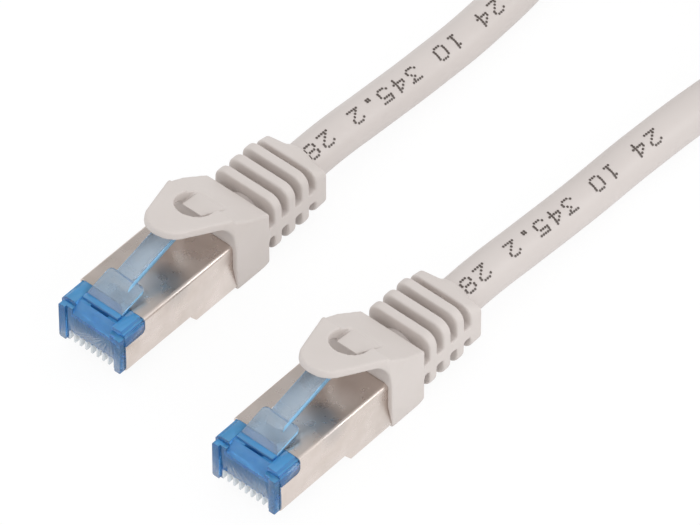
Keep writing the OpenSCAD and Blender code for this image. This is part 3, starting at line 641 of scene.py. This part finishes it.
def boot_block():
    """The block with its sloping top, its tucked lower sides and its narrower rear."""
    bm = box_mesh((-BOOT_HALF, BOOT_FRONT, BOOT_FLOOR), (BOOT_HALF, BOOT_REAR, SLOPE_Z))
    trim(bm, (0, SLOPE_Y, SLOPE_Z), (0, SLOPE_Z - BOOT_REAR_TOP, BOOT_REAR - SLOPE_Y))
    trim(bm, (0, BOOT_FRONT, CREASE_Z), (0, BOOT_FLOOR - CREASE_Z, -FRONT_RAKE))
    trim_both(bm, (BOOT_HALF, 0, CREASE_Z), (CREASE_Z - BOOT_FLOOR, 0, -TUCK))
    trim_both(bm, (BOOT_HALF, 0, PLUG_TOP), (SLOPE_Z - PLUG_TOP, 0, BOOT_HALF - HOOD_HALF))
    return trim_both(bm, (BOOT_HALF, BOOT_FRONT, 0), (BOOT_REAR - BOOT_FRONT, BOOT_HALF - BOOT_REAR_HALF, 0))


def disc(radius, thickness, y, z):
    """A flat round plate."""
    bm = bmesh.new()
    bmesh.ops.create_cone(bm, cap_ends=True, segments=DISC_SIDES, radius1=radius, radius2=radius,
                          depth=thickness)
    bmesh.ops.translate(bm, verts=bm.verts, vec=(0, y, z))
    return bm


def hood_plate():
    """A tapering plate from the hinge to a round tip, tilted by the hood's rise."""
    reach = (HOOD_PIVOT.y - HOOD_TIP) / math.cos(HOOD_RISE)
    tip = disc(TIP_R, HOOD_T, -reach + TIP_R, 0)
    root = box_mesh((-HOOD_HALF, ROOT_FROM, -HOOD_T / 2), (HOOD_HALF, ROOT_TO, HOOD_T / 2))
    plate = hull_of(tip, root)
    bmesh.ops.rotate(plate, verts=plate.verts, cent=(0, 0, 0), matrix=Matrix.Rotation(-HOOD_RISE, 3, "X"))
    bmesh.ops.translate(plate, verts=plate.verts, vec=HOOD_PIVOT)
    return plate


parts = [boot_block(), hood_plate()]
print("block and hood:", sum(len(part.faces) for part in parts), "faces")

# %% [markdown]
# Under the hood a large fillet carries it on the block. It is a square bar with a round groove along it. The
# hood's sides lean inwards to its tip, and the bar is cut back to them.

# %% Fillet under the hood
FILLET_R, FILLET_Y, FILLET_Z = 3, 19.35, 8.69
FILLET_INTO_BLOCK, FILLET_INTO_HOOD = 0.3, 0.2


def hood_fillet():
    """The grooved bar, cut back to the hood's top and sides."""
    bm = box_mesh((-BOOT_HALF, FILLET_Y, FILLET_Z),
                  (BOOT_HALF, BOOT_FRONT + FILLET_INTO_BLOCK, HOOD_PIVOT.z + FILLET_INTO_HOOD))
    trim(bm, HOOD_PIVOT, (0, math.sin(HOOD_RISE), math.cos(HOOD_RISE)))
    trim_both(bm, (BOOT_HALF, 0, PLUG_TOP), (SLOPE_Z - PLUG_TOP, 0, BOOT_HALF - HOOD_HALF))
    side = math.asin((HOOD_HALF - TIP_R) / (HOOD_PIVOT.y - HOOD_TIP - TIP_R))
    trim_both(bm, (HOOD_HALF, HOOD_PIVOT.y, 0), (math.cos(side), -math.sin(side), 0))
    groove = bmesh.new()
    bmesh.ops.create_cone(groove, cap_ends=True, segments=GROOVE_SIDES, radius1=FILLET_R, radius2=FILLET_R,
                          depth=4 * BOOT_HALF)
    bmesh.ops.rotate(groove, verts=groove.verts, cent=(0, 0, 0), matrix=Matrix.Rotation(math.pi / 2, 3, "Y"))
    bmesh.ops.translate(groove, verts=groove.verts, vec=(0, FILLET_Y, FILLET_Z))
    bar, cutter = new_object("bar", bm, 1), new_object("groove", groove, 1)
    add_modifier(bar, "BOOLEAN", operation="DIFFERENCE", object=cutter)
    bake(bar, cutter)
    cut = bmesh.new()
    cut.from_mesh(bar.data)
    bpy.data.objects.remove(bar)
    return cut


parts.append(hood_fillet())
print("fillet:", len(parts[-1].faces), "faces")

# %% [markdown]
# Behind the block come three ribs, a collar and a short sleeve. The boot has to bend with the lead, so only a web
# on each side joins the ribs, and the lead itself is the floor of the slots. The collar's corners are round in
# front and pointed behind, which makes its two wings, and it arches over the lead: one hull goes from the front
# outline to the rear one.

# %% Ribs, collar, sleeve and webs
RIBS, RIB_T, RIB_GAP, RIB_HALF, RIB_R, RIB_TOP, RIB_LOW = 3, 1.5, 1.3, 5.5, 1.9, 8.1, -1.5
COLLAR_T, COLLAR_LOW, COLLAR_TOP, WING_R, WING_LOW, WING_TOP = 2.25, -0.9, 7.3, 0.8, 0, 6.1
ARCH_FRONT, ARCH_REAR, SLEEVE_R = 4.4, 3.95, 3.75
WEB_T, WEB_LOW, WEB_H, OVERLAP, END_T = 1.3, 2, 2, 0.5, 0.2
COLLAR_Y = BOOT_REAR + RIB_GAP + RIBS * (RIB_T + RIB_GAP)


def plate_mesh(y, thickness, half, low, top, radius):
    """An upright plate with rounded corners."""
    return round_edges(box_mesh((-half, y, low), (half, y + thickness, top)), 1, radius, CORNER_STEPS)


for i in range(RIBS):
    rib_y = BOOT_REAR + RIB_GAP + i * (RIB_T + RIB_GAP)
    parts.append(plate_mesh(rib_y, RIB_T, RIB_HALF, RIB_LOW, RIB_TOP, RIB_R))
collar_end = COLLAR_Y + COLLAR_T
collar_front = plate_mesh(COLLAR_Y, END_T, RIB_HALF, COLLAR_LOW, COLLAR_TOP, RIB_R)
collar_rear = plate_mesh(collar_end - END_T, END_T, RIB_HALF, WING_LOW, WING_TOP, WING_R)
arch_front = rod(ARCH_FRONT, COLLAR_Y, COLLAR_Y + END_T, LEAD_Z)
arch_rear = rod(ARCH_REAR, collar_end - END_T, collar_end, LEAD_Z)
parts.append(hull_of(collar_front, collar_rear, arch_front, arch_rear))
parts.append(rod(SLEEVE_R, COLLAR_Y + OVERLAP, PLUG_LEN, LEAD_Z))
for side in (-1, 1):
    x = side * (RIB_HALF - WEB_T / 2)
    parts.append(box_mesh((x - WEB_T / 2, BOOT_REAR - OVERLAP, WEB_LOW),
                          (x + WEB_T / 2, COLLAR_Y + OVERLAP, WEB_LOW + WEB_H)))
print(len(parts), "solids make the boot")

# %% [markdown]
# The window through the hood shows the latch's end and gives the thumb a hold. It is a half disc with a short
# tapered tail. It is cut before the melting, so its rim comes out soft. The cavity for the plug and the bore for
# the lead come last.

# %% Cut, melt and smooth the boot
WINDOW_HALF, WINDOW_FRONT, RAMP_REAR, RAMP_REAR_HALF = 2.8, 18.5, 25.5, 2.6
WINDOW_LOW, WINDOW_DEPTH = HOOD_PIVOT.z - 1.3, 12
SHIELD_HALF, BOX_END, BARREL_OUT, BARREL_END, BOOT_FIT = 5.85, 23.4, 3.83, 28.6, 0.05
CAVITY_FROM, CAVITY_LOW, CAVITY_R, CAVITY_STEPS, BOX_ROOM, BARREL_ROOM = 20, -1.6, 0.65, 6, 0.1, 0.3
ROUGH_VOXEL, FINE_VOXEL, QUICK_VOXEL = 0.2, 0.16, 0.3


def window_cutter():
    """The window's outline, tall enough to go through hood and slope."""
    widest = WINDOW_FRONT + WINDOW_HALF
    front = disc(WINDOW_HALF, WINDOW_DEPTH, widest, WINDOW_LOW + WINDOW_DEPTH / 2)
    tail = box_mesh((-WINDOW_HALF, widest, WINDOW_LOW), (WINDOW_HALF, RAMP_REAR, WINDOW_LOW + WINDOW_DEPTH))
    trim_both(tail, (WINDOW_HALF, widest, 0), (RAMP_REAR - widest, WINDOW_HALF - RAMP_REAR_HALF, 0))
    return hull_of(front, tail)


skin = new_object("skin", joined(*parts), 1)
window = new_object("window", window_cutter(), 1)
voxel = FINE_VOXEL
add_modifier(skin, "REMESH", mode="VOXEL", voxel_size=ROUGH_VOXEL)
add_modifier(skin, "BOOLEAN", operation="DIFFERENCE", object=window)
add_modifier(skin, "REMESH", mode="VOXEL", voxel_size=voxel)
add_modifier(skin, "SMOOTH", factor=0.5, iterations=4)
shell_room = box_mesh((-SHIELD_HALF, CAVITY_FROM, CAVITY_LOW), (SHIELD_HALF, BOX_END + BOX_ROOM, PLUG_TOP))
cavity = new_object("cavity", round_edges(shell_room, 1, CAVITY_R, CAVITY_STEPS), 1)
barrel_cut = rod(BARREL_OUT + BOOT_FIT, BOOT_FRONT, BARREL_END + BARREL_ROOM, LEAD_Z)
barrel_cut = new_object("barrel room", barrel_cut, 1)
bore = new_object("bore", rod(LEAD_R + BOOT_FIT, BOOT_FRONT, PLUG_LEN + 1, LEAD_Z), 1)
for cutter in (cavity, barrel_cut, bore):
    add_modifier(skin, "BOOLEAN", operation="DIFFERENCE", object=cutter)
bake(skin, window, cavity, barrel_cut, bore)
print("boot skin:", len(skin.data.polygons), "faces,", [round(d, 2) for d in skin.dimensions], "mm")


def place_copy(source, name, end):
    """A copy of a mesh in a plug's frame, in millimetres, put in its place at that end, in metres."""
    mesh = source.data.copy()
    mesh.transform(Matrix.Scale(MM, 4) @ Matrix.Translation(plug_origin(end)))
    obj = bpy.data.objects.new(name, mesh)
    bpy.context.scene.collection.objects.link(obj)
    return obj


for end in ENDS:
    boot = place_copy(skin, f"boot_skin_{end}", end)
    boot.data.shade_smooth()
    boot.data.materials.append(ELASTOMER)
    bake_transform(boot)
    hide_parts(f"boot_{end}", f"hood_{end}")

# %% [markdown]
# A thumb ramp rises in the window from the slope to just above the hood. It belongs to the block, so it is a piece
# of its own: the hood goes down past it.

# %% Thumb ramp
RAMP_FRONT, RAMP_HALF, RAMP_TOP, RAMP_SINK = 20.75, 1.75, 11.85, 0.4
RAMP_LIP, RAMP_UNDER, RAMP_EDGE, RAMP_STEPS = 0.35, (0, -1.75, -1.6), 0.16, 3
ramp = box_mesh((-RAMP_REAR_HALF, RAMP_FRONT, BOOT_REAR_TOP), (RAMP_REAR_HALF, RAMP_REAR + RAMP_SINK, SLOPE_Z))
slope_at_rear = SLOPE_Z - (RAMP_REAR - SLOPE_Y) * (SLOPE_Z - BOOT_REAR_TOP) / (BOOT_REAR - SLOPE_Y)
trim(ramp, (0, RAMP_FRONT, RAMP_TOP), (0, RAMP_TOP - slope_at_rear, RAMP_REAR - RAMP_FRONT))
trim(ramp, (0, RAMP_FRONT, RAMP_TOP - RAMP_LIP), RAMP_UNDER)
trim_both(ramp, (RAMP_HALF, RAMP_FRONT, 0), (RAMP_REAR - RAMP_FRONT, RAMP_HALF - RAMP_REAR_HALF, 0))
bmesh.ops.bevel(ramp, geom=ramp.edges[:], offset=RAMP_EDGE, offset_type="OFFSET", segments=RAMP_STEPS,
                profile=0.5, affect="EDGES", material=-1, clamp_overlap=True)
ramp = new_object("ramp", ramp, 1)
for end in ENDS:
    piece = place_copy(ramp, f"thumb_ramp_{end}", end)
    piece.data.shade_smooth()
    piece.data.materials.append(ELASTOMER)
    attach(piece, "root")
for helper in (skin, ramp):
    bpy.data.objects.remove(helper)
print("two boots with their thumb ramps")

# %% [markdown]
# ## Soft edges for the metal and the plastic
# A stamped shell is bent, not cut, along its long edges, and a moulding has a small radius everywhere. Those edges
# catch the light, so each of these pieces is a copy of its solid with one small bevel. The copy is welded first,
# and its flat faces are joined, so that the bevel meets clean corners.

# %% Bevelled copies of the shell, the plug body and the latch
SHELL_EDGE, BODY_EDGE, LEVER_EDGE = 0.12, 0.06, 0.08
WELD, FLAT, SHARP = 0.001 * MM, math.radians(2), math.radians(35)


def dressed(node_name, piece_name, body, width, segments, finish):
    """A copy of a solid with soft edges of this width in millimetres, which takes its place."""
    node = frame["nodes"][node_name]
    bm = bmesh.new()
    bm.from_mesh(node.data)
    bm.transform(node.matrix_world)
    bmesh.ops.remove_doubles(bm, verts=bm.verts, dist=WELD)
    bmesh.ops.dissolve_limit(bm, angle_limit=FLAT, verts=bm.verts, edges=bm.edges)
    obj = new_object(piece_name, bm, 1)
    add_modifier(obj, "BEVEL", width=width * MM, segments=segments, limit_method="ANGLE",
                 angle_limit=SHARP, use_clamp_overlap=True, harden_normals=True)
    bake(obj)
    obj.data.shade_smooth()
    obj.data.materials.clear()
    obj.data.materials.append(finish)
    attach(obj, body)
    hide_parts(node_name)


for end in ENDS:
    dressed(f"shield_{end}", f"shell_{end}", "root", SHELL_EDGE, 3, PLATED[end])
    dressed(f"housing_{end}", f"plug_body_{end}", "root", BODY_EDGE, 2, NOSE_PLASTIC)
    dressed(f"latch_{end}", f"latch_lever_{end}", f"latch_{end}", LEVER_EDGE, 2, LATCH_PLASTIC)
print("shells, plug bodies and latches have soft edges")

# %% [markdown]
# ## The print on the lead
# A lead is marked by an ink jet as it runs past, so each mark is a row of small round dots, seven high. The ink
# wraps over the lead, and it follows the lead's bends. A texture could do it, but real dots are easy to place: a
# table holds the digits, and each dot goes to its angle round the lead and its distance along it.

# %% Where the lead's middle runs
bpy.context.view_layer.update()
KNOT_STEPS = 24


def middle_line(curve_object):
    """Closely spaced points along a curve's only spline, in millimetres."""
    knots = curve_object.data.splines[0].bezier_points
    line = []
    for one, two in zip(knots[:-1], knots[1:]):
        line += interpolate_bezier(one.co, one.handle_right, two.handle_left, two.co, KNOT_STEPS)[:-1]
    return [point / MM for point in line]


def place_along(line, distance):
    """The point at this distance along a line, and the line's direction there."""
    for one, two in zip(line[:-1], line[1:]):
        step = (two - one).length
        if distance <= step:
            return one + (two - one) * distance / step, (two - one).normalized()
        distance -= step
    raise ValueError("the line is shorter than that")


leads = {"a": middle_line(lead), "b": middle_line(lead)[::-1]}
print("the lead's middle has", len(leads["a"]), "points")

# %% [markdown]
# Each digit is seven rows of five dots. The table gives a row as a number whose bits are its dots. Loops then turn
# rows into angles round the lead and columns into distances along it.

# %% The dots
DIGIT_ROWS = {
    "0": (14, 17, 17, 17, 17, 17, 14), "1": (4, 12, 4, 4, 4, 4, 14), "2": (14, 17, 1, 2, 4, 8, 31),
    "3": (31, 2, 4, 2, 1, 17, 14), "4": (2, 6, 10, 18, 31, 2, 2), "5": (31, 16, 30, 1, 1, 17, 14),
    "8": (14, 17, 17, 14, 17, 17, 14), ".": (0, 0, 0, 0, 0, 12, 12), " ": (0, 0, 0, 0, 0, 0, 0)}
MARKS = "24 10 345.2 28"
ROWS, COLUMNS = 7, 5
MARK_PITCH, COLUMN, ROW_ANGLE = 3.0, 0.44, math.radians(6.2)
DOT_R, DOT_T, DOT_RISE, DOT_SIDES = 0.19, 0.03, 0.006, 10
FIRST_MARK, MARK_ANGLE = 1.1, math.radians(24)


def ink_dot(point, along, angle):
    """A flat dot on the lead at this angle from its top towards +X."""
    side = along.cross(Vector((0, 0, 1))).normalized()
    if side.x < 0:
        side.negate()
    upward = side.cross(along)
    if upward.z < 0:
        upward.negate()
    outward = upward * math.cos(angle) + side * math.sin(angle)
    bm = bmesh.new()
    bmesh.ops.create_cone(bm, cap_ends=True, segments=DOT_SIDES, radius1=DOT_R, radius2=DOT_R, depth=DOT_T)
    turned = outward.to_track_quat("Z", "Y").to_matrix().to_4x4()
    bm.transform(Matrix.Translation(point + outward * (LEAD_R + DOT_RISE)) @ turned)
    return bm


def printed(end):
    """The marks on one end of the lead. The last of them is nearest to the boot."""
    dots = []
    for place, mark in enumerate(reversed(MARKS)):
        for row, bits in enumerate(DIGIT_ROWS[mark]):
            for column in range(COLUMNS):
                if bits >> (COLUMNS - 1 - column) & 1:
                    distance = FIRST_MARK + place * MARK_PITCH + (COLUMNS // 2 - column) * COLUMN
                    point, along = place_along(leads[end], distance)
                    dots.append(ink_dot(point, along, MARK_ANGLE + (ROWS // 2 - row) * ROW_ANGLE))
    obj = new_object(f"print_{end}", joined(*dots))
    obj.data.materials.append(INK)
    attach(obj, "root")
    return obj


INK = insulation("ink", "5E544F", "524842")
prints = [printed(end) for end in ENDS]
print("printed", MARKS, "in", sum(len(p.data.polygons) for p in prints), "faces")

# %% [markdown]

# %% [markdown]
# ## Light and floor
# The object stands on a white sweep. A white tent gives the even light of a catalogue picture, and three soft
# lamps shape it: one above, one low on the right and a small one at the right rear, for the bright line along the
# shells.
# The sweep shines white where the camera sees it, and it keeps a share of the object's shadow.

# %% Floor, lamps and world
FLOOR_HALF, WHITE_SHARE, WHITE_LEVEL = 1.5, 0.88, 1.03
TENT_LEVEL, GAP_LEVEL, GAP_WAY, GAP_FROM, GAP_FULL = 0.9, 0.55, Vector((-0.45, 0.51, 0.73)), 0.45, 0.95


def studio():
    """A white floor that still takes the object's shadow."""
    bm = bmesh.new()
    bmesh.ops.create_grid(bm, x_segments=1, y_segments=1, size=FLOOR_HALF)
    floor = new_object("floor", bm, 1)
    material = bpy.data.materials.new("white floor")
    material.use_nodes = True
    tree = material.node_tree
    shader = tree.nodes["Principled BSDF"]
    shader.inputs["Base Color"].default_value = colour("F0F0F0")
    shader.inputs["Roughness"].default_value = 0.9
    # white to the eye and in the mirror of metal and glass, with a share left for the object's shadow
    path = add_node(tree, "ShaderNodeLightPath")
    rays = {0: path.outputs["Is Camera Ray"], 1: path.outputs["Is Glossy Ray"]}
    direct = add_node(tree, "ShaderNodeMath", rays, operation="MAXIMUM").outputs[0]
    seen = add_node(tree, "ShaderNodeMath", {0: direct, 1: path.outputs["Is Transmission Ray"]},
                    operation="MAXIMUM").outputs[0]
    share = add_node(tree, "ShaderNodeMath", {0: seen, 1: WHITE_SHARE}, operation="MULTIPLY").outputs[0]
    white = add_node(tree, "ShaderNodeEmission", {"Color": (1, 1, 1, 1), "Strength": WHITE_LEVEL})
    mix = add_node(tree, "ShaderNodeMixShader", {0: share, 1: shader.outputs[0], 2: white.outputs[0]})
    tree.links.new(mix.outputs[0], tree.nodes["Material Output"].inputs["Surface"])
    floor.data.materials.append(material)


def soft_lamp(name, place, aim, size, power):
    """A square lamp that faces a point."""
    data = bpy.data.lights.new(name, "AREA")
    data.shape = "SQUARE"
    data.size = size
    data.energy = power
    lamp = bpy.data.objects.new(name, data)
    lamp.location = place
    lamp.rotation_euler = (Vector(aim) - Vector(place)).to_track_quat("-Z", "Y").to_euler()
    bpy.context.scene.collection.objects.link(lamp)


studio()
middle = (0, 0.0, 0.01)
soft_lamp("top", (-0.25, -0.15, 0.9), middle, 0.8, 0.5)
soft_lamp("right", (0.75, -0.35, 0.3), middle, 0.6, 0.8)
soft_lamp("edge", (0.73, 0.55, 0.45), middle, 0.35, 1.1)


def tent():
    """An even white tent round the object. Metal sees it too, with the grey gap behind and above."""
    world = bpy.data.worlds.new("studio")
    world.use_nodes = True
    tree = world.node_tree
    direction = add_node(tree, "ShaderNodeTexCoord").outputs["Generated"]
    gap = add_node(tree, "ShaderNodeVectorMath", {0: direction, 1: GAP_WAY}, operation="DOT_PRODUCT")
    limits = {"Value": gap.outputs["Value"], "From Min": GAP_FROM, "From Max": GAP_FULL,
              "To Min": TENT_LEVEL, "To Max": GAP_LEVEL}
    dark = add_node(tree, "ShaderNodeMapRange", limits)
    path = add_node(tree, "ShaderNodeLightPath")
    level = add_node(tree, "ShaderNodeMix", {0: path.outputs["Is Glossy Ray"], 2: TENT_LEVEL,
                                               3: dark.outputs["Result"]}, data_type="FLOAT")
    rays = {0: path.outputs["Is Camera Ray"], 1: path.outputs["Is Transmission Ray"]}
    seen = add_node(tree, "ShaderNodeMath", rays, operation="MAXIMUM")
    shown = add_node(tree, "ShaderNodeMix", {0: seen.outputs[0], 2: level.outputs[0], 3: 1.0}, data_type="FLOAT")
    tree.links.new(shown.outputs[0], tree.nodes["Background"].inputs["Strength"])
    tree.nodes["Background"].inputs["Color"].default_value = (1, 1, 1, 1)
    bpy.context.scene.world = world


tent()
bpy.context.scene.view_settings.view_transform = "Standard"
